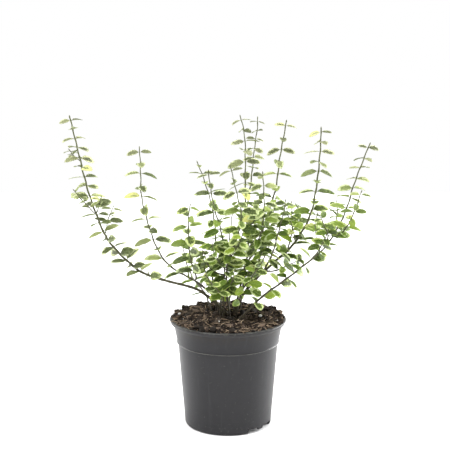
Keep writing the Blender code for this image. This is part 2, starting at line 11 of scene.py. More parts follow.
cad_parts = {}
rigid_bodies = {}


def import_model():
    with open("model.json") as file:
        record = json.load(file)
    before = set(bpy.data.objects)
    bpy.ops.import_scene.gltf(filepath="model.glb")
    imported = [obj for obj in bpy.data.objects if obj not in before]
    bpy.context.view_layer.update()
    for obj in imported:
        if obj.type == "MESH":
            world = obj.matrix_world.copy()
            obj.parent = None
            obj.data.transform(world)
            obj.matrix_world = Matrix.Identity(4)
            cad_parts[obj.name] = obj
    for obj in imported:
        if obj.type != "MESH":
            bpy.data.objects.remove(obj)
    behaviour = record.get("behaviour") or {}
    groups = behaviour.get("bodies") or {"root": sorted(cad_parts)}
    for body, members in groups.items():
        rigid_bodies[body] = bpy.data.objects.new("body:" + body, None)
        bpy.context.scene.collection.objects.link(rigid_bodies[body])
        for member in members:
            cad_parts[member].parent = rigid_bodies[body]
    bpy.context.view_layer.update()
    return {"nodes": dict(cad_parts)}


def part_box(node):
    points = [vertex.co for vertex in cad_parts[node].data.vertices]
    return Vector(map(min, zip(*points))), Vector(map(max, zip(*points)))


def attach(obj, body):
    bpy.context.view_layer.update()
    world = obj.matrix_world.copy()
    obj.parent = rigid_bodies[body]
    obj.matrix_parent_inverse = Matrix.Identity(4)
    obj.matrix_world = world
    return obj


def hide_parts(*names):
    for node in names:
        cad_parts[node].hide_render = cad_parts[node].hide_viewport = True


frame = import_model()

# A potted variegated euonymus. Metres, +Z up, -Y is the front, the pot stands on z = 0.
mm = 0.001


# Working in edit mode

def takeUp(piece):
    bpy.ops.object.select_all(action="DESELECT")
    piece.select_set(True)
    bpy.context.view_layer.objects.active = piece


def editAll(piece):
    takeUp(piece)
    bpy.ops.object.mode_set(mode="EDIT")
    bpy.ops.mesh.select_mode(type="VERT")
    bpy.ops.mesh.select_all(action="SELECT")


def editWhere(piece, test):
    # edit mode with only the points that pass the test selected
    editAll(piece)
    bpy.ops.mesh.select_all(action="DESELECT")
    work = bmesh.from_edit_mesh(piece.data)
    for point in work.verts:
        point.select = test(point.co)
    work.select_flush_mode()
    bmesh.update_edit_mesh(piece.data)


def leaveEdit():
    bpy.ops.object.mode_set(mode="OBJECT")


def newPiece(name):
    # names the primitive that was just added
    piece = bpy.context.object
    piece.name = name
    piece.data.name = name
    return piece


def newObject(name, content):
    piece = bpy.data.objects.new(name, content)
    bpy.context.scene.collection.objects.link(piece)
    return piece


def discard(*pieces):
    for piece in pieces:
        bpy.data.objects.remove(piece, do_unlink=True)


def settle(piece):
    # the place goes into the mesh
    takeUp(piece)
    bpy.ops.object.transform_apply(location=True, rotation=True, scale=True)


def applyModifiers(piece):
    takeUp(piece)
    for modifier in list(piece.modifiers):
        bpy.ops.object.modifier_apply(modifier=modifier.name)


def shadeSmooth(piece, degrees):
    # smooth shading, with an edge kept where faces meet at more than this angle
    takeUp(piece)
    bpy.ops.object.shade_smooth_by_angle(angle=math.radians(degrees))


def faceOutwards(piece):
    editAll(piece)
    bpy.ops.mesh.remove_doubles(threshold=0.00001)
    bpy.ops.mesh.normals_make_consistent(inside=False)
    leaveEdit()


def turnedBody(name, outline, sides):
    # a small disc drawn out, ring by ring, through (radius, height) and closed at its last ring
    radius, height = outline[0]
    bpy.ops.mesh.primitive_circle_add(
        vertices=sides, radius=radius, fill_type="TRIFAN", location=(0, 0, height))
    piece = newPiece(name)
    settle(piece)
    editAll(piece)
    bpy.ops.mesh.select_mode(type="EDGE")
    bpy.ops.mesh.select_all(action="DESELECT")
    bpy.ops.mesh.select_non_manifold()
    for nextRadius, nextHeight in outline[1:]:
        grow = nextRadius / radius
        bpy.ops.mesh.extrude_edges_move()
        bpy.ops.transform.resize(value=(grow, grow, 1), center_override=(0, 0, 0))
        bpy.ops.transform.translate(value=(0, 0, nextHeight - height))
        radius, height = nextRadius, nextHeight
    bpy.ops.mesh.edge_face_add()
    bpy.ops.mesh.poke()
    leaveEdit()
    faceOutwards(piece)
    return piece


def arc(centre, radius, start, end, steps):
    # points on a rounding, as (radius, height); angles in degrees from outwards, anticlockwise
    turns = [math.radians(start + (end - start) * i / steps) for i in range(steps + 1)]
    return [(centre[0] + radius * math.cos(t), centre[1] + radius * math.sin(t)) for t in turns]


# Materials

def setInputs(tree, node, inputs):
    # a value is a socket to link, a number or a vector, or a colour as (red, green, blue)
    for name, value in inputs.items():
        socket = node.inputs[name]
        if isinstance(value, bpy.types.NodeSocket):
            tree.links.new(value, socket)
        else:
            socket.default_value = (*value, 1.0) if socket.type == "RGBA" else value


def addNode(tree, kind, inputs=None, **settings):
    node = tree.nodes.new("ShaderNode" + kind)
    for name, value in settings.items():
        setattr(node, name, value)
    setInputs(tree, node, inputs or {})
    return node


def mixColours(tree, share, under, over, blend="MIX"):
    node = addNode(tree, "Mix", {0: share, 6: under, 7: over}, data_type="RGBA", blend_type=blend)
    return node.outputs[2]


def mathNode(kind):
    return lambda tree, *values: addNode(tree, "Math", dict(enumerate(values)), operation=kind).outputs[0]


times, timesPlus, minus, greater, unsigned, leftOver = [
    mathNode(kind) for kind in ("MULTIPLY", "MULTIPLY_ADD", "SUBTRACT", "MAXIMUM", "ABSOLUTE", "FRACT")]


def spread(tree, value, low, high, newHigh=1.0, newLow=0.0):
    inputs = {"Value": value, "From Min": low, "From Max": high, "To Min": newLow, "To Max": newHigh}
    return addNode(tree, "MapRange", inputs).outputs["Result"]


def noiseOn(tree, where, scale, detail=3.0, rough=0.55):
    inputs = {"Vector": where, "Scale": scale, "Detail": detail, "Roughness": rough}
    return addNode(tree, "TexNoise", inputs).outputs["Fac"]


def newMaterial(name, roughness, specular):
    material = bpy.data.materials.new(name)
    material.use_nodes = True
    shader = material.node_tree.nodes["Principled BSDF"]
    setInputs(material.node_tree, shader, {"Roughness": roughness, "Specular IOR Level": specular})
    return material, material.node_tree, shader


def newGroup(name, takes, gives):
    # a node group with these sockets, its inputs as they arrive inside it and its output node
    group = bpy.data.node_groups.new(name, "ShaderNodeTree")
    for way, sockets in (("INPUT", takes), ("OUTPUT", gives)):
        for label, kind in sockets.items():
            group.interface.new_socket(label, in_out=way, socket_type="NodeSocket" + kind)
    entry = group.nodes.new("NodeGroupInput")
    return group, entry.outputs, group.nodes.new("NodeGroupOutput")


def makeGrainGroup():
    # fine pits and grain: a height for bump and a tone that lightens and darkens a colour
    group, entry, leave = newGroup(
        "fineGrain", {"Place": "Vector", "Scale": "Float", "Tone Swing": "Float"},
        {"Height": "Float", "Tone": "Float"})
    fine = noiseOn(group, entry["Place"], entry["Scale"], 4.0, 0.65)
    coarseScale = times(group, entry["Scale"], 0.13)
    coarse = noiseOn(group, entry["Place"], coarseScale, 3.0, 0.5)
    centred = minus(group, timesPlus(group, fine, 0.4, coarse), 0.7)
    setInputs(group, leave, {
        "Height": timesPlus(group, coarse, 0.5, fine),
        "Tone": timesPlus(group, centred, entry["Tone Swing"], 1.0)})
    return group


def makeDustGroup():
    # pale dust that lies thickly where its mask is high and breaks up into specks where it is low
    group, entry, leave = newGroup(
        "settledDust", {"Colour": "Color", "Dust Colour": "Color", "Place": "Vector", "Mask": "Float",
                        "Scale": "Float"}, {"Colour": "Color", "Dust": "Float"})
    cloud = noiseOn(group, entry["Place"], entry["Scale"], 6.0, 0.7)
    dust = spread(group, timesPlus(group, entry["Mask"], 0.5, cloud), 0.62, 0.95)
    mixed = mixColours(group, dust, entry["Colour"], entry["Dust Colour"])
    setInputs(group, leave, {"Colour": mixed, "Dust": dust})
    return group


grainGroup = makeGrainGroup()
dustGroup = makeDustGroup()


def grainOn(tree, place, scale, toneSwing):
    inputs = {"Place": place, "Scale": scale, "Tone Swing": toneSwing}
    return addNode(tree, "Group", inputs, node_tree=grainGroup).outputs


def objectPlace(tree):
    return addNode(tree, "TexCoord").outputs["Object"]


def axesOf(tree, vector):
    return addNode(tree, "SeparateXYZ", {0: vector}).outputs


def mapAxes(tree, name):
    # a UV map's U and V, as X and Y
    return axesOf(tree, addNode(tree, "UVMap", uv_map=name).outputs[0])


def bumpOn(tree, shader, height, strength, distance):
    bump = addNode(tree, "Bump", {"Height": height, "Strength": strength, "Distance": distance})
    setInputs(tree, shader, {"Normal": bump.outputs[0]})


def tinted(tree, base, tone):
    # a colour made lighter or darker by a tone around 1
    grey = addNode(tree, "CombineColor", {0: tone, 1: tone, 2: tone}).outputs[0]
    return mixColours(tree, 1.0, base, grey, "MULTIPLY")


def band(tree, value, middle, reach):
    # 1 where value is at middle, falling to 0 at reach either side
    away = unsigned(tree, minus(tree, value, middle))
    return spread(tree, away, reach, 0.0)


potMarks = {  # heights on the pot, with how far each mark reaches
    "paintedShadeAndDirtUnderLip": (0.1315, 0.009), "collarEdge": (0.1098, 0.0009), "lipEdge": (0.1390, 0.1398),
    "lipDust": (0.134, 0.139), "footDust": (0.034, 0.0),
}


def potPlastic():
    material, tree, shader = newMaterial("potPlastic", 0.40, 0.3)
    place = objectPlace(tree)
    height = axesOf(tree, place)["Z"]
    grain = grainOn(tree, place, 900.0, 0.35)
    streaked = addNode(tree, "Mapping", {"Vector": place, "Scale": (150.0, 150.0, 9.0)}).outputs[0]
    scuffs = spread(tree, noiseOn(tree, streaked, 1.0, 5.0, 0.6), 0.58, 0.80, 0.16)
    base = mixColours(tree, scuffs, (0.0150, 0.0146, 0.0168), (0.080, 0.080, 0.084))
    # a patchy brown band under the lip: dirt, and painted shade where the lip keeps the light off
    patchy = spread(tree, noiseOn(tree, place, 240.0, 3.0, 0.6), 0.35, 0.6)
    paintedShadeAndDirtUnderLip = times(tree, band(tree, height, *potMarks["paintedShadeAndDirtUnderLip"]), patchy)
    base = mixColours(tree, times(tree, paintedShadeAndDirtUnderLip, 0.55), base, (0.022, 0.016, 0.010))
    # a lighter band along the collar's step and the lip's top edge, broken up by noise: a painted highlight
    # where these edges catch the light
    edge = spread(tree, height, *potMarks["lipEdge"], 0.7)
    paintedEdgeHighlight = greater(tree, band(tree, height, *potMarks["collarEdge"]), edge)
    paintedEdgeHighlight = times(tree, paintedEdgeHighlight, spread(tree, noiseOn(tree, place, 130.0), 0.3, 0.6, 0.62, 0.15))
    base = mixColours(tree, paintedEdgeHighlight, base, (0.15, 0.15, 0.135))
    top = spread(tree, height, *potMarks["lipDust"], 0.16)
    foot = spread(tree, height, *potMarks["footDust"], 0.12)
    dusty = addNode(tree, "Group", {
        "Colour": tinted(tree, base, grain["Tone"]), "Dust Colour": (0.13, 0.125, 0.11),
        "Place": place, "Mask": greater(tree, top, foot), "Scale": 260.0}, node_tree=dustGroup).outputs
    rough = spread(tree, dusty["Dust"], 0.0, 1.0, 0.70, 0.40)
    setInputs(tree, shader, {"Base Color": dusty["Colour"], "Roughness": rough})
    bumpOn(tree, shader, grain["Height"], 0.25, 0.0002)
    return material


def soilPeat():
    material, tree, shader = newMaterial("soilPeat", 0.95, 0.2)
    place = objectPlace(tree)
    grain = grainOn(tree, place, 700.0, 1.6)
    patches = noiseOn(tree, place, 110.0, 4.0, 0.6)
    damp, dry = (0.011, 0.008, 0.006), (0.050, 0.035, 0.026)
    base = mixColours(tree, spread(tree, patches, 0.4, 0.7), damp, dry)
    flecks = spread(tree, noiseOn(tree, place, 520.0, 2.0, 0.5), 0.66, 0.74, 0.75)
    base = mixColours(tree, flecks, base, (0.24, 0.165, 0.11))
    setInputs(tree, shader, {"Base Color": tinted(tree, base, grain["Tone"])})
    bumpOn(tree, shader, grain["Height"], 1.0, 0.0012)
    return material


def bitsMaterial(name, dark, light, scale, roughness=0.9):
    # loose bits: each copy has its own tone, kept in its bitTone map
    material, tree, shader = newMaterial(name, roughness, 0.25)
    tone = mapAxes(tree, "bitTone")["X"]
    place = objectPlace(tree)
    grain = grainOn(tree, place, scale, 0.9)
    base = mixColours(tree, tone, dark, light)
    setInputs(tree, shader, {"Base Color": tinted(tree, base, grain["Tone"])})
    bumpOn(tree, shader, grain["Height"], 0.7, 0.0004)
    return material


def stemBark():
    material, tree, shader = newMaterial("stemBark", 0.6, 0.35)
    place = objectPlace(tree)
    grain = grainOn(tree, place, 1400.0, 0.9)
    height = axesOf(tree, place)["Z"]
    young = spread(tree, timesPlus(tree, noiseOn(tree, place, 30.0), 0.06, height), 0.16, 0.34)
    mottle = noiseOn(tree, place, 220.0)
    old = mixColours(tree, mottle, (0.022, 0.016, 0.011), (0.070, 0.050, 0.030))
    fresh = mixColours(tree, mottle, (0.060, 0.070, 0.026), (0.140, 0.152, 0.062))
    base = mixColours(tree, young, old, fresh)
    setInputs(tree, shader, {"Base Color": tinted(tree, base, grain["Tone"])})
    bumpOn(tree, shader, grain["Height"], 0.5, 0.0003)
    return material


def colourStops(tree, value, *stops):
    # a ColorRamp from (place, colour) stops
    node = addNode(tree, "ValToRGB", {"Fac": value})
    ramp = node.color_ramp
    while len(ramp.elements) < len(stops):
        ramp.elements.new(0.5)
    for element, (place, tint) in zip(ramp.elements, stops):
        element.position = place
        element.color = (*tint, 1.0)
    return node.outputs["Color"]


def leafVariegated():
    # blade is along the leaf and across it, leafTone its chance and yellowness, leafSide 1 on the upper face
    material, tree, shader = newMaterial("leafVariegated", 0.48, 0.16)
    blade, tone = mapAxes(tree, "blade"), mapAxes(tree, "leafTone")
    along, across = blade["X"], blade["Y"]
    chance, yellow = tone["X"], tone["Y"]
    upperSide = mapAxes(tree, "leafSide")["X"]
    fromRib = unsigned(tree, timesPlus(tree, across, 2.0, -1.0))
    fromMiddle = greater(tree, fromRib, spread(tree, along, 0.55, 1.0))
    pattern = addNode(tree, "CombineXYZ", {
        "X": times(tree, along, 4.2), "Y": times(tree, across, 2.4),
        "Z": times(tree, chance, 47.0)}).outputs[0]
    feather = noiseOn(tree, pattern, 1.5, 4.0, 0.62)
    blotch = noiseOn(tree, pattern, 3.6, 3.0, 0.6)
    wander = leftOver(tree, times(tree, chance, 7.31))  # a second chance for each leaf
    reach = timesPlus(tree, wander, 0.40, 0.68)  # how far green runs from the rib
    reach = minus(tree, reach, times(tree, yellow, 0.95))
    edge = timesPlus(tree, minus(tree, feather, 0.5), 1.7, fromMiddle)
    edge = minus(tree, edge, reach)
    cream = spread(tree, edge, -0.02, 0.14)
    halo = spread(tree, edge, -0.34, 0.02, 0.5)
    place = objectPlace(tree)
    where = axesOf(tree, place)
    outer = spread(tree, where["X"], -0.03, -0.11, 0.7)
    high = spread(tree, where["Z"], 0.27, 0.35)
    young = greater(tree, outer, high)
    grown = colourStops(
        tree, chance, (0.0, (0.008, 0.026, 0.001)), (0.35, (0.040, 0.092, 0.004)),
        (0.7, (0.120, 0.200, 0.012)), (1.0, (0.285, 0.375, 0.030)))
    fresh = colourStops(
        tree, chance, (0.0, (0.030, 0.038, 0.011)), (0.35, (0.092, 0.104, 0.042)),
        (0.7, (0.185, 0.198, 0.096)), (1.0, (0.310, 0.325, 0.176)))
    green = mixColours(tree, young, grown, fresh)
    pale = mixColours(tree, young, (0.30, 0.40, 0.06), (0.37, 0.39, 0.23))
    paler = mixColours(tree, 0.5, green, pale)
    mottled = mixColours(tree, spread(tree, blotch, 0.46, 0.70, 0.85), green, paler)
    margin = mixColours(tree, wander, (0.50, 0.62, 0.29), (0.40, 0.53, 0.07))
    margin = mixColours(tree, young, margin, (0.54, 0.57, 0.39))
    margin = mixColours(tree, yellow, margin, (0.66, 0.66, 0.22))
    upper = mixColours(tree, halo, mottled, paler)
    upper = mixColours(tree, cream, upper, margin)
    rib = spread(tree, fromRib, 0.10, 0.0, 0.45)
    slanted = timesPlus(tree, fromRib, -0.35, along)
    veinPlace = addNode(tree, "CombineXYZ", {"X": slanted}).outputs[0]
    veins = addNode(tree, "TexWave", {"Vector": veinPlace, "Scale": 2.2, "Distortion": 0.6}).outputs["Fac"]
    lines = greater(tree, rib, spread(tree, veins, 0.80, 1.0, 0.30))
    upper = mixColours(tree, lines, upper, mixColours(tree, 0.5, paler, (0.34, 0.42, 0.18)))
    lower = mixColours(tree, 0.40, upper, (0.24, 0.30, 0.12))
    base = mixColours(tree, upperSide, lower, upper)
    grain = grainOn(tree, place, 600.0, 0.5)
    setInputs(tree, shader, {
        "Base Color": tinted(tree, base, grain["Tone"]),
        "Roughness": spread(tree, upperSide, 0.0, 1.0, 0.46, 0.66)})
    relief = timesPlus(tree, rib, -2.5, grain["Height"])
    relief = timesPlus(tree, veins, 0.8, relief)
    bumpOn(tree, shader, relief, 0.6, 0.0003)
    return material


materials = {
    "pot": potPlastic(),
    "soil": soilPeat(),
    "fibre": bitsMaterial("soilFibre", (0.028, 0.018, 0.011), (0.46, 0.34, 0.23), 900.0),
    "bark": bitsMaterial("soilBark", (0.010, 0.008, 0.006), (0.17, 0.122, 0.088), 500.0),
    "clod": bitsMaterial("soilClod", (0.009, 0.007, 0.005), (0.045, 0.031, 0.022), 420.0),
    "perlite": bitsMaterial("soilPerlite", (0.55, 0.53, 0.48), (0.85, 0.84, 0.80), 900.0),
    "stem": stemBark(),
    "leaf": leafVariegated(),
}
print("materials made")


def finishPiece(piece, material, slotName, *nodes):
    piece.data.materials.clear()
    piece.data.materials.append(material)
    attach(piece, "root")
    if nodes:
        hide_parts(*nodes)


# Pot

pot = {
    "sides": 128, "wall": 1.2 * mm, "lipOverhang": 4.5 * mm, "lipDrop": 5.2 * mm, "lipSlant": 1.4 * mm,
    "lipRound": 1.6 * mm, "lipGroove": 2.4 * mm, "collarHeight": 31.0 * mm, "collarTaper": 5.0 * mm,
    "collarStep": 1.0 * mm, "beadSize": 0.8 * mm, "base": 56.0 * mm, "baseRound": 3.0 * mm, "floor": 1.5 * mm,
    "skirt": 7.0 * mm, "pad": 20.0 * mm, "padSlope": 4.0 * mm, "middle": 2 * mm, "wobble": 0.3 * mm,
    "notches": ((35.0, 14.5 * mm, 6.4 * mm), (47.5, 10.0 * mm, 3.2 * mm), (63.5, 22.5 * mm, 6.4 * mm)),
    "notchSides": (0.0, 180.0), "notchLean": 3.0, "notchDepth": 8.0 * mm,
}
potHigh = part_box("nursery_pot")[1]
potHeight = potHigh[2]
lipRadius = potHigh[0]
collarTop = lipRadius - pot["lipOverhang"]
collarBottom = collarTop - pot["collarTaper"]
bodyTop = collarBottom - pot["collarStep"]
stepHeight = potHeight - pot["collarHeight"]


def potOutline():
    # from the middle of the floor inside, up over the lip and down to the middle underneath
    wall, rounding, bead = pot["wall"], pot["lipRound"], pot["beadSize"]
    base, baseRound, floor, skirt = pot["base"], pot["baseRound"], pot["floor"], pot["skirt"]
    pad, padFoot = pot["pad"], pot["pad"] + pot["padSlope"]
    lipBottom = potHeight - pot["lipDrop"]
    lipFoot = lipRadius - pot["lipSlant"]
    inside = [
        (pot["middle"], floor), (pad, floor), (padFoot, floor + skirt), (base - wall, floor + skirt),
        (bodyTop - wall, stepHeight - pot["collarStep"]), (collarBottom - wall, stepHeight),
        (collarTop - wall, potHeight - 0.6 * mm), (collarTop - wall + 0.5 * mm, potHeight)]
    lip = arc((lipRadius - rounding, potHeight - rounding), rounding, 90, 0, 6)
    groove = pot["lipGroove"]
    under = [(lipFoot + 0.1 * mm, lipBottom + 0.5 * mm), (lipFoot - 0.4 * mm, lipBottom),
             (lipFoot - wall, lipBottom), (collarTop + wall * 0.5, lipBottom + groove),
             (collarTop, lipBottom + groove * 0.5)]
    collar = [(collarBottom + 0.25 * mm, stepHeight + 3 * bead)]
    collar += arc((collarBottom, stepHeight + bead), bead, 50, -90, 6)
    body = [(bodyTop, stepHeight - 0.2 * mm), (bodyTop - 0.5 * mm, stepHeight - 6 * mm)]
    body += arc((base - baseRound, baseRound), baseRound, 0, -90, 6)
    underneath = arc((base - baseRound - wall, baseRound), baseRound, -90, 0, 4)
    underneath += [(base - wall, skirt), (padFoot, skirt), (pad, 0.0), (pot["middle"], 0.0)]
    return inside + lip + under + collar + body + underneath


def cutNotches(piece):
    cuts = [(angle + side, width, height)
            for side in pot["notchSides"] for angle, width, height in pot["notches"]]
    for angle, width, height in cuts:
        bpy.ops.mesh.primitive_cube_add(size=1.0)
        cutter = newPiece("notchCutter")
        settle(cutter)
        turn = Matrix.Rotation(math.radians(angle), 4, "Z")
        out = Matrix.Translation((0, -(pot["base"] + pot["wall"] - pot["notchDepth"] * 0.5), 0))
        lean = Matrix.Rotation(math.radians(pot["notchLean"]), 4, "Y")
        size = Matrix.Diagonal((width, pot["notchDepth"], height * 2, 1))
        cutter.data.transform(turn @ out @ lean @ size)
        cut = piece.modifiers.new("notch", "BOOLEAN")
        cut.operation = "DIFFERENCE"
        cut.object = cutter
        applyModifiers(piece)
        discard(cutter)


def makePot():
    piece = turnedBody("potShell", potOutline(), pot["sides"])
    chance = random.Random("pot")
    phases = [chance.uniform(0, math.tau) for _ in range(3)]
    for point in piece.data.vertices:  # thin moulded plastic is never quite round
        angle = math.atan2(point.co.y, point.co.x)
        swell = sum(math.sin(angle * (k + 2) + phases[k]) for k in range(3)) / 3
        grow = 1 + swell * pot["wobble"] / lipRadius * (point.co.z / potHeight)
        point.co.x *= grow
        point.co.y *= grow
    cutNotches(piece)
    shadeSmooth(piece, 32)
    finishPiece(piece, materials["pot"], "pot_plastic", "nursery_pot")


makePot()
print("pot made")


# Soil

soil = {
    "gap": 0.4 * mm, "solidGap": 0.3 * mm, "aboveLip": 1.5 * mm, "heap": 5.0 * mm, "clump": 1.6 * mm,
    "clumpPitch": 9.5 * mm, "rings": 28, "sides": 128,
    "lumps": ((15 * mm, 5.0 * mm), (6 * mm, 5.5 * mm), (2.4 * mm, 3.0 * mm)),
}
soilRim = collarTop - pot["wall"] - soil["gap"]
solidRim = collarTop - pot["wall"] - soil["solidGap"]  # the packed soil's rim, which the stems follow


def soilHeight(x, y):
    share = min(1.0, math.hypot(x, y) / solidRim)
    clumps = math.sin(x / soil["clumpPitch"] + 0.6) * math.cos(y / soil["clumpPitch"] - 0.4)
    heap = soil["heap"] * (1 - share ** 2)
    return potHeight + soil["aboveLip"] + heap + soil["clump"] * clumps * (1 - share ** 4)


def makeSoil():
    wall = pot["wall"] + soil["gap"]
    floor = pot["floor"] + soil["gap"]
    pad, padFoot = pot["pad"] - soil["gap"], pot["pad"] + pot["padSlope"] - soil["gap"]
    raised = floor + pot["skirt"]
    sides = [(pot["middle"], floor), (pad, floor), (padFoot, raised), (pot["base"] - wall, raised),
             (bodyTop - wall, stepHeight - pot["collarStep"]), (collarBottom - wall, stepHeight + 1 * mm)]
    level = potHeight + soil["aboveLip"]
    top = [(soilRim * (1 - i / soil["rings"]), level) for i in range(soil["rings"])]
    piece = turnedBody("soilHeap", sides + top, soil["sides"])
    topGroup = piece.vertex_groups.new(name="top")
    for point in piece.data.vertices:
        if point.co.z > level - 0.1 * mm:
            topGroup.add([point.index], 1.0, "REPLACE")
            point.co.z = soilHeight(point.co.x, point.co.y)
    smooth = piece.modifiers.new("finer", "SUBSURF")
    smooth.subdivision_type = "SIMPLE"
    smooth.levels = smooth.render_levels = 1
    for number, (size, rise) in enumerate(soil["lumps"]):
        texture = bpy.data.textures.new("lumps" + str(number), "CLOUDS")
        texture.noise_scale = size
        texture.noise_depth = 2
        lift = piece.modifiers.new("lumps", "DISPLACE")
        lift.texture = texture
        lift.texture_coords = "LOCAL"
        lift.direction = "Z"
        lift.mid_level = 0.5
        lift.strength = rise * 2
        lift.vertex_group = "top"
    applyModifiers(piece)
    bpy.ops.object.shade_smooth()
    finishPiece(piece, materials["soil"], "soil_peat", "potting_soil")
    return piece


soilPiece = makeSoil()
work = bmesh.new()
work.from_mesh(soilPiece.data)
soilTree = BVHTree.FromBMesh(work)
work.free()
print("soil made")


def soilTop(x, y):
    hit = soilTree.ray_cast(Vector((x, y, potHeight + 50 * mm)), Vector((0, 0, -1)))
    return hit[0].z if hit[0] else potHeight


# Loose bits on the soil

# Sink is a share of a bit's length, tilt is in radians, and darker draws the tones to the dark end.
usualBits = {
    "fine": 1, "edgeShare": 0.2, "overEdge": 1.5 * mm, "edgeBand": 4 * mm, "darker": 1.6, "grains": (),
}
bits = {
    "soilFibres": {"finish": "fibre", "count": 560, "length": (6 * mm, 21 * mm), "width": 12 * mm,
                   "kinds": 4, "sink": 0.06, "tilt": 0.4, "darker": 1.1, "seed": "fibres"},
    "barkChips": {"finish": "bark", "count": 420, "length": (3 * mm, 11 * mm), "flatness": 0.38,
                  "bump": 0.22, "kinds": 5, "sink": 0.10, "tilt": 0.7, "seed": "bark"},
    "soilClods": {"finish": "clod", "count": 46, "length": (6 * mm, 13 * mm), "flatness": 0.7, "bump": 0.17,
                  "fine": 2, "kinds": 4, "sink": 0.10, "tilt": 0.5, "edgeShare": 0.45, "seed": "clods"},
    "soilCrumbs": {"finish": "bark", "count": 900, "length": (1.2 * mm, 3.8 * mm), "flatness": 0.8,
                   "bump": 0.18, "kinds": 3, "sink": 0.15, "tilt": 1.0, "seed": "crumbs"},
    "perliteGrains": {"finish": "perlite", "count": 22, "length": (1.2 * mm, 3.0 * mm), "flatness": 0.8,
                      "bump": 0.18, "kinds": 3, "sink": 0.22, "tilt": 1.0, "seed": "perlite",
                      "grains": ((41 * mm, -22 * mm, 5.4 * mm), (-63 * mm, 6 * mm, 4.4 * mm))},
}  # grains are the big ones' x, y and size


def makeFibre(number):
    # a cube drawn out along X and bent, one unit long
    chance = random.Random("fibre" + str(number))
    bpy.ops.mesh.primitive_cube_add(size=1.0)
    piece = newPiece("fibrePattern" + str(number))
    editAll(piece)
    bpy.ops.transform.resize(value=(1, 0.07, 0.05))
    leaveEdit()
    for place in (-0.28, -0.05, 0.2):
        editAll(piece)
        bpy.ops.mesh.bisect(plane_co=(place, 0, 0), plane_no=(1, 0, 0))
        leaveEdit()
    bow = chance.uniform(0.1, 0.3)
    sway = chance.uniform(-0.25, 0.25)
    for point in piece.data.vertices:
        x = point.co.x
        taper = 1 - 1.2 * abs(x)
        point.co = (x, point.co.y * taper + sway * x * x * 2, point.co.z * taper + bow * (0.25 - x * x))
    return piece


def makeChip(number, setting):
    # an uneven lump, one unit long
    flatness, bump = setting["flatness"], setting["bump"]
    chance = random.Random("chip" + str(number) + str(flatness))
    bpy.ops.mesh.primitive_ico_sphere_add(subdivisions=setting["fine"], radius=0.5)
    piece = newPiece("chipPattern" + str(number))
    editAll(piece)
    bpy.ops.transform.resize(value=(1, chance.uniform(0.5, 0.9), flatness))
    leaveEdit()
    for point in piece.data.vertices:
        point.co *= 1 + chance.uniform(-bump, bump)
    return piece


def joinCopies(name, copies, layer):
    # one mesh from many placed copies; each copy is (pattern, matrix, (u, v)) and (u, v) goes in the layer
    work = bmesh.new()
    tones = work.loops.layers.uv.new(layer)
    for pattern, matrix, tone in copies:
        first = len(work.faces)
        mesh = pattern.data.copy()
        mesh.transform(matrix)
        work.from_mesh(mesh)
        bpy.data.meshes.remove(mesh)
        work.faces.ensure_lookup_table()
        for face in work.faces[first:]:
            for loop in face.loops:
                loop[tones].uv = tone
    mesh = bpy.data.meshes.new(name)
    work.to_mesh(mesh)
    work.free()
    return newObject(name, mesh)


def scatter(setting, patterns):
    chance = random.Random(setting["seed"])
    low, high = setting["length"]
    tilt = setting["tilt"]
    copies = []
    for number in range(setting["count"]):
        if chance.random() < setting["edgeShare"]:
            radius = soilRim + setting["overEdge"] - chance.uniform(0, setting["edgeBand"])
        else:
            radius = soilRim * math.sqrt(chance.uniform(0, 1))
        angle = chance.uniform(0, math.tau)
        x, y = radius * math.cos(angle), radius * math.sin(angle)
        length = low + (high - low) * chance.random() ** 2
        turn = Matrix.Rotation(chance.uniform(0, math.tau), 4, "Z")
        lift = Matrix.Rotation(chance.uniform(-tilt, tilt), 4, "Y")
        lift = lift @ Matrix.Rotation(chance.uniform(-tilt, tilt), 4, "X")
        ground = max(soilTop(x, y), potHeight if radius > soilRim else 0)
        place = Matrix.Translation((x, y, ground + setting["sink"] * length))
        width = setting.get("width", length)
        size = Matrix.Diagonal((length, width, width, 1))
        tone = chance.random() ** setting["darker"]
        copies.append((patterns[number % len(patterns)], place @ turn @ lift @ size, (tone, 0)))
    return copies


def layBits(name, setting):
    kinds = range(setting["kinds"])
    patterns = [makeFibre(k) if "width" in setting else makeChip(k, setting) for k in kinds]
    copies = scatter(setting, patterns)
    for x, y, size in setting["grains"]:
        place = Matrix.Translation((x, y, soilTop(x, y) + size * 0.6))
        copies.append((patterns[0], place @ Matrix.Scale(size, 4), (1, 0)))
    piece = joinCopies(name, copies, "bitTone")
    shadeSmooth(piece, 50)
    finishPiece(piece, materials[setting["finish"]], "soil_peat")
    discard(*patterns)


for name, setting in bits.items():
    layBits(name, {**usualBits, **setting})
print("loose bits laid")


# Stems

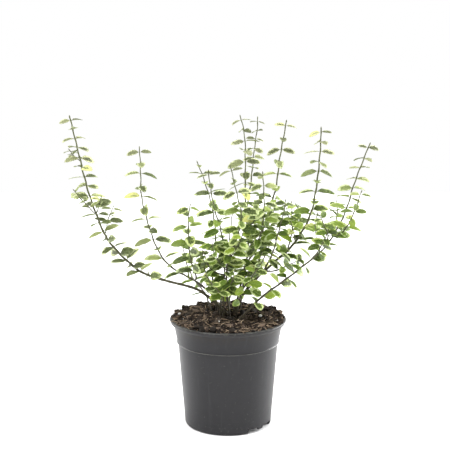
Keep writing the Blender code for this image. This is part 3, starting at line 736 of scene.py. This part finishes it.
# The solids' routes again, in millimetres, as name: (start, radius, bare, pairGap, leaf, turn, route).
# start is where a stem leaves the soil, or the stem that it grows from; radius is (base, tip); bare is
# its leafless start, pairGap the distance between leaf pairs, leaf a full-grown leaf, turn the tip
# pair's angle round the stem, and route (x, y, height above the lip).
stems = {
    "stem_left_outer": ((-3, -8), (1.9, 0.8), 122, 12.5, 21, 35,
        [(-13, -6, 19), (-40, -8, 40), (-83, -14, 54), (-114, -18, 68), (-149, -22, 105),
         (-164, -20, 138), (-176, -14, 172), (-188, -4, 219), (-198, 6, 258)]),
    "stem_left_inner": ((-8, 1), (1.5, 0.6), 72, 15, 22, 5,
        [(-19, 2, 28), (-39, 14, 43), (-73, 34, 58), (-89, 42, 75), (-101, 48, 102), (-113, 54, 147),
         (-114, 56, 181), (-115, 56, 212)]),
    "stem_centre_left": ((-14, 8), (1.4, 0.6), 34, 12.5, 21.5, 80,
        [(-18, 12, 30), (-20, 20, 46), (-18, 34, 67), (-16, 46, 95), (-21, 58, 134), (-32, 66, 171),
         (-40, 70, 191)]),
    "stem_centre_front": ((-10, -14), (1.4, 0.6), 36, 12.5, 21.5, 0,
        [(-8, -16, 37), (-5, -19, 61), (-4, -22, 82), (-9, -30, 122), (-17, -34, 150), (-23, -36, 185),
         (-24, -36, 196)]),
    "stem_front": ((2, -16), (1.4, 0.6), 40, 13, 21, 10,
        [(-1, -20, 34), (-2, -30, 68), (2, -40, 91), (11, -52, 117), (16, -62, 147), (10, -70, 176),
         (3, -74, 207)]),
    "stem_centre": ((8, 3), (1.6, 0.6), 48, 13, 21, 15,
        [(15, 4, 36), (23, 9, 72), (26, 14, 100), (22, 18, 144), (22, 20, 199), (21, 20, 233),
         (16, 20, 257)]),
    "stem_back_right": ((15, 10), (1.7, 0.8), 56, 16.5, 21, 0,
        [(19, 16, 36), (25, 34, 63), (41, 56, 85), (52, 76, 119), (64, 90, 153), (69, 98, 191),
         (78, 104, 241)]),
    "stem_right": ((8, -6), (2.1, 0.8), 84, 12, 22, 10,
        [(17, -2, 28), (37, 0, 53), (63, 4, 76), (84, 10, 95), (105, 18, 130), (114, 24, 173),
         (118, 26, 222), (118, 26, 241)]),
    "stem_right_outer": ((14, -32), (1.5, 0.7), 42, 13, 20, 28,
        [(23, -34, 17), (43, -36, 38), (74, -34, 61), (97, -32, 79), (117, -32, 96), (132, -32, 117),
         (146, -34, 148), (155, -36, 181), (172, -40, 230)]),
    "shoot_base_front": ((-6, -23), (1.1, 0.6), 34, 13, 18, 40,
        [(-6, -34, 36), (-13, -50, 50), (-20, -62, 61), (-27, -70, 73)]),
    "shoot_base_left": ((-22, 14), (1.1, 0.6), 32, 15, 18, 20,
        [(-31, 38, 24), (-45, 60, 35), (-56, 76, 56), (-62, 84, 84)]),
    "shoot_base_right": ((10, -17), (1.1, 0.6), 34, 13, 18, 70,
        [(17, -34, 44), (26, -52, 62), (33, -64, 76), (41, -72, 91)]),
    "shoot_base_back": ((1, 14), (1.2, 0.6), 34, 14, 20, 0,
        [(4, 40, 32), (3, 64, 59), (2, 80, 85), (6, 92, 117)]),
    "shoot_base_back_right": ((9, 19), (1.2, 0.6), 36, 15, 20, 45,
        [(29, 44, 34), (46, 70, 57), (59, 86, 84), (70, 94, 107)]),
    "shoot_left_upright": ("stem_left_inner", (1.1, 0.6), 16, 12.5, 23, 20,
        [(-38, 12, 46), (-41, 2, 56), (-47, -18, 81), (-49, -32, 110), (-49, -42, 140), (-47, -46, 156)]),
    "shoot_centre_back": ("stem_centre", (1.0, 0.6), 20, 12.5, 17, 30,
        [(23, 16, 118), (25, 36, 141), (30, 52, 169), (34, 64, 206), (38, 70, 234), (39, 72, 249)]),
    "shoot_centre_low": ("stem_centre", (1.0, 0.6), 16, 11.5, 21, 65,
        [(24, 10, 77), (35, -10, 97), (42, -30, 124), (44, -46, 159), (42, -56, 197)]),
    "shoot_right_inner": ("stem_right", (1.1, 0.6), 20, 11.5, 21, 25,
        [(49, 2, 64), (56, -14, 88), (62, -26, 115), (68, -34, 142), (71, -38, 160)]),
    "shoot_right_low": ("stem_right", (1.1, 0.6), 16, 12, 23, 60,
        [(47, 2, 62), (61, -14, 66), (75, -27, 76), (90, -38, 86)]),
    "shoot_right_upper": ("stem_right", (1.1, 0.6), 12, 11, 20, 10,
        [(82, 10, 94), (83, 26, 108), (83, 38, 124), (83, 46, 142)]),
    "shoot_right_tip": ("stem_right_outer", (0.9, 0.5), 14, 12, 19, 0,
        [(131, -32, 116), (142, -48, 124), (152, -62, 148), (160, -72, 177)]),
    "shoot_right_side": ("stem_right_outer", (0.9, 0.5), 12, 10.5, 20, 40,
        [(133, -32, 120), (137, -12, 134), (138, -2, 141), (138, 6, 151)]),
    "shoot_left_low": ("stem_centre_left", (0.9, 0.5), 12, 11, 21, 50,
        [(-20, 18, 36), (-27, 4, 56), (-31, -8, 73), (-32, -16, 91)]),
    "shoot_front_middle": ("stem_front", (0.9, 0.5), 10, 10, 23, 35,
        [(1, -40, 87), (8, -52, 101), (14, -60, 112), (17, -66, 124)]),
    "shoot_centre_right": ("stem_centre", (0.9, 0.5), 14, 10, 21, 10,
        [(26, 12, 94), (37, -2, 108), (46, -14, 124), (52, -22, 141)]),
    "shoot_right_crown": ("stem_right", (0.9, 0.5), 10, 10, 21, 70,
        [(96, 15, 114), (93, 28, 128), (88, 38, 142)]),
    "shoot_outer_low": ("stem_right_outer", (0.9, 0.5), 12, 11, 22, 20,
        [(103, -32, 83), (111, -46, 98), (117, -56, 113), (122, -62, 128)]),
    "shoot_outer_middle": ("stem_right_outer", (0.9, 0.5), 12, 11, 21, 55,
        [(117, -32, 96), (112, -16, 106), (110, -6, 120), (113, 2, 136)]),
    "shoot_crown_front": ("stem_right", (0.9, 0.5), 12, 10, 21, 30,
        [(88, 12, 100), (82, -6, 118), (76, -20, 136), (72, -26, 150)]),
    "shoot_crown_back": ("stem_back_right", (0.9, 0.5), 12, 10, 21, 60,
        [(46, 66, 100), (54, 50, 116), (60, 38, 134), (62, 30, 152)]),
    "shoot_crown_middle": ("stem_centre", (0.9, 0.5), 12, 10, 21, 80,
        [(25, 15, 112), (32, -4, 126), (34, -18, 140), (34, -24, 156)]),
    "shoot_outer_front": ("stem_right_outer", (0.9, 0.5), 10, 10, 21, 45,
        [(126, -32, 108), (123, -46, 120), (117, -54, 134), (112, -58, 144)]),
    "shoot_front_left": ("stem_front", (0.9, 0.5), 10, 11, 19, 20,
        [(-2, -32, 74), (-12, -44, 86), (-18, -52, 100), (-20, -56, 112)]),
    "shoot_middle_left": ("stem_centre_front", (0.9, 0.5), 12, 12, 19, 70,
        [(-6, -19, 58), (-18, -28, 68), (-26, -34, 80), (-30, -36, 94)]),
    "shoot_low_right": ("stem_centre", (0.9, 0.5), 14, 11, 19, 35,
        [(19, 6, 54), (29, -12, 66), (37, -28, 78), (42, -38, 94)]),
    "shoot_low_front": ("stem_centre_front", (0.9, 0.5), 12, 11, 18, 55,
        [(-8, -16, 38), (0, -32, 48), (5, -46, 60), (8, -56, 76)]),
    "twig_left_back": ("stem_left_outer", (0.7, 0.5), 10, 9, 16, 60,
        [(-170, -17, 141), (-180, -28, 158), (-190, -34, 172)]),
    "twig_left_middle": ("stem_left_outer", (0.7, 0.5), 10, 9, 17, 0,
        [(-164, -20, 140), (-160, -32, 152), (-157, -38, 164)]),
    "twig_left_low": ("stem_left_outer", (0.7, 0.5), 9, 9, 21, 10,
        [(-157, -21, 122), (-150, -10, 135), (-145, -4, 146)]),
    "twig_left_high": ("stem_left_outer", (0.7, 0.5), 10, 8, 15, 30,
        [(-185, -8, 203), (-193, 5, 209), (-201, 14, 216)]),
}
for name, (start, *rest) in stems.items():
    stems[name] = dict(zip(("radius", "bare", "pairGap", "leaf", "turn", "route"), rest))
    stems[name]["parent" if start in stems else "root"] = start

wood = {
    "step": 14 * mm, "aboveSoil": 2 * mm, "socketDepth": 12 * mm, "gap": 0.3 * mm, "fine": 4, "flare": 1.2,
    "firstPair": 0.3, "pairSwing": 14, "pairSpread": (0.88, 1.12),
    "knotGap": 1.15, "knotSpread": (0.85, 1.2), "clearOfSoil": 14 * mm, "clearOfParent": 4 * mm,
    "knotSwell": 0.32, "knotWidth": 1.7 * mm, "knotSway": 0.35 * mm, "swayTurns": (260, 210),
    "swayAfter": 20 * mm, "budLength": 3.4 * mm,
    "budShape": ((0.25, 1.35), (0.6, 1.05), (0.9, 0.45), (1.0, 0.2)),  # share of its length, of tip radius
}


def smoothPath(points, perSpan=8):
    ends = [points[0] * 2 - points[1]] + points + [points[-1] * 2 - points[-2]]
    path = [points[0]]
    for before, start, end, after in zip(ends, ends[1:], ends[2:], ends[3:]):
        leave = start + (end - before) / 6
        arrive = end - (after - start) / 6
        path += interpolate_bezier(start, leave, arrive, end, perSpan + 1)[1:]
    return path


def pathLength(path):
    return sum((b - a).length for a, b in zip(path, path[1:]))


def walk(path, distance):
    for a, b in zip(path, path[1:]):
        span = (b - a).length
        if distance <= span:
            return a.lerp(b, distance / span), (b - a).normalized()
        distance -= span
    return path[-1], (path[-1] - path[-2]).normalized()


def stemRadius(spec, share):
    base, tip = spec["radius"]
    return (base + (tip - base) * share) * mm


def routePoints(spec):
    return [Vector((x * mm, y * mm, potHeight + height * mm)) for x, y, height in spec["route"]]


def evenSteps(path):
    length = pathLength(path)
    steps = math.ceil(length / wood["step"])
    return [walk(path, length * i / steps)[0] for i in range(steps + 1)]


def rootedPath(spec):
    x, y = (value * mm for value in spec["root"])
    surface = Vector((x, y, soilHeight(x, y)))
    collar = surface + Vector((0, 0, wood["aboveSoil"]))
    foot = surface - Vector((0, 0, wood["socketDepth"]))
    return [foot] + evenSteps(smoothPath([collar] + routePoints(spec)))


def branchingPath(spec, parentSpec, parentPath):
    # returns the shoot's path and the place on its parent's axis that it springs from
    points = routePoints(spec)
    nearest = min(range(1, len(parentPath) - 1), key=lambda i: (parentPath[i] - points[0]).length)
    joint = parentPath[nearest]
    along = (parentPath[nearest + 1] - joint).normalized()
    share = pathLength(parentPath[:nearest + 1]) / pathLength(parentPath)
    side = points[1] - joint
    side = (side - along * side.dot(along)).normalized()
    offset = stemRadius(parentSpec, share) + stemRadius(spec, 0) + wood["gap"]
    return evenSteps(smoothPath([joint + side * offset] + points[1:])), joint


paths = {name: rootedPath(spec) for name, spec in stems.items() if "root" in spec}
joints = {}
for name, spec in stems.items():
    if "parent" in spec:
        paths[name], joints[name] = branchingPath(spec, stems[spec["parent"]], paths[spec["parent"]])


def leafPairs(name, spec, path):
    # (place, direction, side, distance below the tip) of each leaf pair, from the tip down
    chance = random.Random(name)
    length = pathLength(path)
    bare = spec["bare"] * mm
    gap = spec["pairGap"] * mm
    belowTip = gap * wood["firstPair"]
    side = Vector((1, 0, 0))
    turn = spec["turn"]
    swing = wood["pairSwing"]
    while belowTip < length - bare:
        place, along = walk(path, length - belowTip)
        side = (side - along * side.dot(along)).normalized()
        turned = Matrix.Rotation(math.radians(turn + chance.uniform(-swing, swing)), 3, along)
        yield place, along, turned @ side, belowTip
        turn += 90
        belowTip += gap * chance.uniform(*wood["pairSpread"])


def knotPlaces(name, spec, path):
    # distances from the start where the stem swells: at each leaf pair, and where old pairs have dropped
    length = pathLength(path)
    places = [length - below for _, _, _, below in leafPairs(name, spec, path)]
    chance = random.Random(name + "_knots")
    lowest = min(places, default=length)
    gap = spec["pairGap"] * mm * wood["knotGap"]
    while lowest > gap + wood["clearOfSoil" if "root" in spec else "clearOfParent"]:
        lowest -= gap * chance.uniform(*wood["knotSpread"])
        places.append(lowest)
    return places


def makeBudPattern():
    # a pointed bud along +X, one unit long
    bpy.ops.mesh.primitive_cone_add(vertices=6, radius1=0.34, radius2=0.10, depth=1.0, location=(0.45, 0, 0),
                                    rotation=(0, math.radians(90), 0))
    piece = newPiece("budPattern")
    settle(piece)
    editWhere(piece, lambda p: p.x < 0)
    bpy.ops.mesh.bevel(offset=0.12, segments=1, affect="EDGES")
    leaveEdit()
    return piece


budPattern = makeBudPattern()


def knotBuds(name, spec, path, places):
    # two small side buds at each bare knot
    chance = random.Random(name + "_buds")
    length = pathLength(path)
    copies = []
    for distance in places:
        place, along = walk(path, distance)
        radius = stemRadius(spec, distance / length)
        side = along.cross(Vector((0, 0, 1))) if abs(along.z) < 0.9 else along.cross(Vector((1, 0, 0)))
        side = Matrix.Rotation(chance.uniform(0, math.tau), 3, along) @ side.normalized()
        for outward in (side, -side):
            heading = (outward * 0.75 + along * 0.66).normalized()
            across = heading.cross(along).normalized()
            axes = Matrix((heading, across, heading.cross(across))).transposed().to_4x4()
            size = Matrix.Scale((0.9 + radius / mm * 0.55) * chance.uniform(0.8, 1.25) * mm, 4)
            where = Matrix.Translation(place + outward * radius * 0.55)
            copies.append((budPattern, where @ axes @ size, (0, 0)))
    return copies


def makeWood(name, spec, path):
    length = pathLength(path)
    knots = knotPlaces(name, spec, path)
    chance = random.Random(name + "_wood")
    rooted = "root" in spec
    line = smoothPath(path[1:] if rooted else path, wood["fine"])
    line = [path[0] if rooted else joints[name]] + line
    curve = bpy.data.curves.new(name + "_wood", "CURVE")
    curve.dimensions = "3D"
    curve.bevel_depth = 1.0
    curve.bevel_resolution = 2
    curve.use_fill_caps = True
    tip, along = line[-1], (line[-1] - line[-2]).normalized()
    bud = [(tip + along * wood["budLength"] * reach, share) for reach, share in wood["budShape"]]
    spline = curve.splines.new("POLY")
    spline.points.add(len(line) + len(bud) - 1)
    run = 0.0
    previous = line[0]
    phase = chance.uniform(0, math.tau)
    swayX, swayY = wood["swayTurns"]
    for i, place in enumerate(line):
        run += (place - previous).length
        previous = place
        near = max(math.exp(-((run - knot) / wood["knotWidth"]) ** 2) for knot in knots) if knots else 0
        radius = stemRadius(spec, min(1, run / length)) * (1 + wood["knotSwell"] * near)
        if rooted and i == 1:
            radius *= wood["flare"]  # where it meets the soil
        sway = Vector((math.sin(run * swayX + phase), math.cos(run * swayY + phase), 0)) * wood["knotSway"]
        spline.points[i].co = (*(place + sway * min(1, run / wood["swayAfter"])), 1)
        spline.points[i].radius = radius
    last = Vector(spline.points[len(line) - 1].co[:3]) - tip
    for k, (place, share) in enumerate(bud):
        spline.points[len(line) + k].co = (*(place + last), 1)
        spline.points[len(line) + k].radius = stemRadius(spec, 1) * share
    tube = newObject(name + "_tube", curve)
    takeUp(tube)
    bpy.ops.object.convert(target="MESH")
    faceOutwards(tube)
    bare = [knot for knot in knots if knot < spec["bare"] * mm]
    copies = [(tube, Matrix.Identity(4), (0, 0))] + knotBuds(name, spec, path, bare)
    piece = joinCopies(name + "_wood", copies, "bitTone")
    discard(tube)
    shadeSmooth(piece, 50)
    finishPiece(piece, materials["stem"], "stem_bark", name)


for name, spec in stems.items():
    makeWood(name, spec, paths[name])
discard(budPattern)
print("stems made:", len(stems))


# Leaves

leaf = {
    "tipShare": 0.70, "grownAfter": 45 * mm, "oldExtra": 0.10, "oldAfter": 150 * mm, "sizes": (0.88, 1.1),
    "rise": -6, "riseSpread": 14, "roll": 26, "droop": 0.20, "hangLift": 0.75, "hangSwing": 0.55,
    "lean": 1.5, "leanBelow": 210 * mm, "leanLeast": 0.5, "facesTip": 0.4, "stalkSink": 0.3,
    "turnAside": (0, 28, -28, 56, -56), "found": 0.6 * mm, "thick": 0.022, "stalk": 0.026, "kinds": 6,
    "outline": (0.0, 0.0, 0.42, 0.86, 1.0, 0.96, 0.76, 0.40, 0.0),  # share of the half width, stalk to tip
    "stations": (0.0, 0.09, 0.15, 0.28, 0.45, 0.63, 0.81, 0.94, 1.0),
    "varied": {"halfWidth": (0.235, 0.285), "fold": (0.10, 0.34), "droop": (0.75, 1.25),
               "twist": (-0.35, 0.35), "sweep": (-0.10, 0.10), "curl": (-0.02, 0.05),
               "ripple": (0.004, 0.014)},
}


def makeLeafPattern(number):
    # a blade along +X, one unit long, its upper face to +Z: wide part keeled along the rib, tip drooping
    chance = random.Random("leaf" + str(number))
    own = {name: chance.uniform(*ends) for name, ends in leaf["varied"].items()}
    halfWidth = own["halfWidth"]
    droop = leaf["droop"] * own["droop"]
    bpy.ops.mesh.primitive_uv_sphere_add(
        segments=8, ring_count=8, radius=1.0, rotation=(0, math.radians(90), 0))
    piece = newPiece("leafPattern" + str(number))
    settle(piece)
    rings = sorted({round(point.co.x, 4) for point in piece.data.vertices})
    widths = {}
    for ring, station, share in zip(rings, leaf["stations"], leaf["outline"]):
        size = math.sqrt(max(1e-6, 1 - ring * ring))
        widths[round(station, 3)] = max(leaf["stalk"] * 0.8, halfWidth * share)
        wide = widths[round(station, 3)] / size
        high = leaf["thick"] * (0.5 if share else 0.8) / size
        editWhere(piece, lambda p: abs(p.x - ring) < 0.0001)
        bpy.ops.transform.resize(value=(1, wide, high), center_override=(ring, 0, 0))
        bpy.ops.transform.translate(value=(station - ring + 10, 0, 0))
        leaveEdit()
    piece.data.transform(Matrix.Translation((-10, 0, 0)))
    blade = piece.data.uv_layers.new(name="blade")
    sides = piece.data.uv_layers.new(name="leafSide")
    for face in piece.data.polygons:
        upper = 1.0 if face.normal.z > 0 else 0.0
        for corner in face.loop_indices:
            point = piece.data.vertices[piece.data.loops[corner].vertex_index].co
            blade.data[corner].uv = (point.x, 0.5 + 0.5 * point.y / widths[round(point.x, 3)])
            sides.data[corner].uv = (upper, 0)
    for point in piece.data.vertices:
        x, y, z = point.co
        across = y / halfWidth
        z += abs(y) * own["fold"] * (1 - own["curl"] * x) - droop * x * x
        z += own["ripple"] * math.sin(x * 17 + number) * across * across
        y += own["sweep"] * x * x
        turn = own["twist"] * x
        point.co = (x, y * math.cos(turn) - (z + droop * x * x) * math.sin(turn),
                    z + y * math.sin(turn))
    for face in piece.data.polygons:
        face.use_smooth = True
    return piece


leafPatterns = [makeLeafPattern(k) for k in range(leaf["kinds"])]


def leafLength(spec, belowTip, chance):
    grown = leaf["tipShare"] + (1 - leaf["tipShare"]) * min(1, belowTip / leaf["grownAfter"])
    old = leaf["oldExtra"] * min(1, belowTip / leaf["oldAfter"])
    return spec["leaf"] * mm * (grown + old) * chance.uniform(*leaf["sizes"])


def leafPlacing(place, along, outward, radius, rise, roll):
    hang = max(0, -outward.z)
    heading = outward * math.cos(rise) + along * (math.sin(rise) + leaf["hangSwing"] * hang)
    heading = (heading + Vector((0, 0, leaf["hangLift"] * hang))).normalized()
    lean = leaf["lean"] * max(0, 1 - (place.z - potHeight) / leaf["leanBelow"])
    light = Vector((place.x, place.y, 0)).normalized() * lean
    light += Vector((0, -1, 0)) * max(leaf["leanLeast"], lean)
    up = Vector((0, 0, 1)) + along * leaf["facesTip"] + light
    face = (up - heading * up.dot(heading)).normalized()
    face = Matrix.Rotation(math.radians(roll), 3, heading) @ face
    axes = Matrix((heading, face.cross(heading), face)).transposed().to_4x4()
    return Matrix.Translation(place + outward * radius * leaf["stalkSink"]) @ axes


def solidCorners(name):
    corners = frame["nodes"][name].data.vertices
    tree = kdtree.KDTree(len(corners))
    for i, corner in enumerate(corners):
        tree.insert(corner.co, i)
    tree.balance()
    return tree


def leavesOf(name, spec, path):
    # (matrix, length, place) of each leaf, at the first turn aside where the stem's solid has a leaf tip
    chance = random.Random(name + "_leaves")
    corners = solidCorners(name)
    length = pathLength(path)
    for place, along, side, belowTip in leafPairs(name, spec, path):
        radius = stemRadius(spec, 1 - belowTip / length)
        for outward in (side, -side):
            long = leafLength(spec, belowTip, chance)
            rise = math.radians(leaf["rise"] + chance.uniform(-leaf["riseSpread"], leaf["riseSpread"]))
            roll = chance.uniform(-leaf["roll"], leaf["roll"])
            tip = Vector((long, 0, -leaf["droop"] * long))
            for angle in leaf["turnAside"]:
                swung = Matrix.Rotation(math.radians(angle), 3, along) @ outward
                placing = leafPlacing(place, along, swung, radius, rise, roll)
                if corners.find(placing @ tip)[2] < leaf["found"]:
                    yield placing, long, place
                    break


tones = {
    "yellow": (0, 0.3), "yellowShare": 0.045, "yellowed": (0.6, 1.0), "paintedShadeBelow": 0.25, "low": 2.7,
    "high": 1.4,
}


def leafTone(chance, place):
    # (chance, yellowness): low leaves are darker, a painted shade for the dim lower interior, and a few
    # leaves are nearly all yellow
    yellow = chance.uniform(*tones["yellow"])
    if chance.random() < tones["yellowShare"]:
        yellow = chance.uniform(*tones["yellowed"])
    # leaves low in the plant take darker tones: painted shade
    return chance.random() ** tones["low" if place.z < tones["paintedShadeBelow"] else "high"], yellow


def makeLeaves(name, spec, path):
    chance = random.Random(name + "_tones")
    copies = []
    for placing, long, place in leavesOf(name, spec, path):
        pattern = leafPatterns[chance.randrange(len(leafPatterns))]
        copies.append((pattern, placing @ Matrix.Scale(long, 4), leafTone(chance, place)))
    piece = joinCopies(name + "_leaves", copies, "leafTone")
    finishPiece(piece, materials["leaf"], "leaf_variegated", name)
    return len(copies)


leafCount = sum(makeLeaves(name, spec, paths[name]) for name, spec in stems.items())
discard(*leafPatterns)
print("leaves laid:", leafCount)


# Stage

stage = {
    "floor": 3.4, "floorColour": (0.93, 0.93, 0.93), "backdrop": 1.0, "surround": 0.40,
    "lights": (  # place, aimed at, size, watts
        ((-1.2, -1.2, 2.7), (0, 0, 0.2), 1.2, 76),
        ((1.5, -1.0, 2.3), (0, 0, 0.2), 1.4, 36),
        ((0.1, 1.0, 2.6), (0, 0, 0.2), 1.6, 46),
        ((-1.7, 1.0, 0.5), (0, 0, 0.1), 1.3, 36),
        ((1.7, 1.0, 0.5), (0, 0, 0.1), 1.3, 80),
    ),
    "camera": (-0.0039, -1.5, 0.57), "tilt": 11.6, "lens": 96.48,
}


def makeSurround():
    # a white backdrop to look at, and a softer white surround that lights the plant
    world = bpy.data.worlds.new("whiteRoom")
    world.use_nodes = True
    tree = world.node_tree
    seen = addNode(tree, "LightPath").outputs["Is Camera Ray"]
    backdrop = addNode(tree, "Background", {"Color": (1, 1, 1), "Strength": stage["backdrop"]})
    soft = tree.nodes["Background"]
    setInputs(tree, soft, {"Color": (1, 1, 1), "Strength": stage["surround"]})
    both = addNode(tree, "MixShader", {0: seen, 1: soft.outputs[0], 2: backdrop.outputs[0]})
    setInputs(tree, tree.nodes["World Output"], {"Surface": both.outputs[0]})
    bpy.context.scene.world = world


def makeStage():
    bpy.ops.mesh.primitive_plane_add(size=stage["floor"])
    floor = newPiece("floor")
    material, tree, shader = newMaterial("paleFloor", 0.9, 0.0)
    setInputs(tree, shader, {"Base Color": stage["floorColour"]})
    floor.data.materials.append(material)
    makeSurround()
    for number, (place, aim, size, watts) in enumerate(stage["lights"]):
        light = bpy.data.lights.new("softLight" + str(number), "AREA")
        light.size = size
        light.energy = watts
        lamp = newObject(light.name, light)
        lamp.location = place
        lamp.rotation_euler = (Vector(aim) - Vector(place)).to_track_quat("-Z", "Y").to_euler()


def makeCamera():
    lens = bpy.data.cameras.new("view")
    lens.lens = stage["lens"]
    lens.sensor_width = 36
    camera = newObject("view", lens)
    camera.location = stage["camera"]
    camera.rotation_euler = (math.radians(90 - stage["tilt"]), 0, 0)
    bpy.context.scene.camera = camera


makeStage()
makeCamera()
bpy.context.scene.view_settings.view_transform = "Standard"
print("stage set")
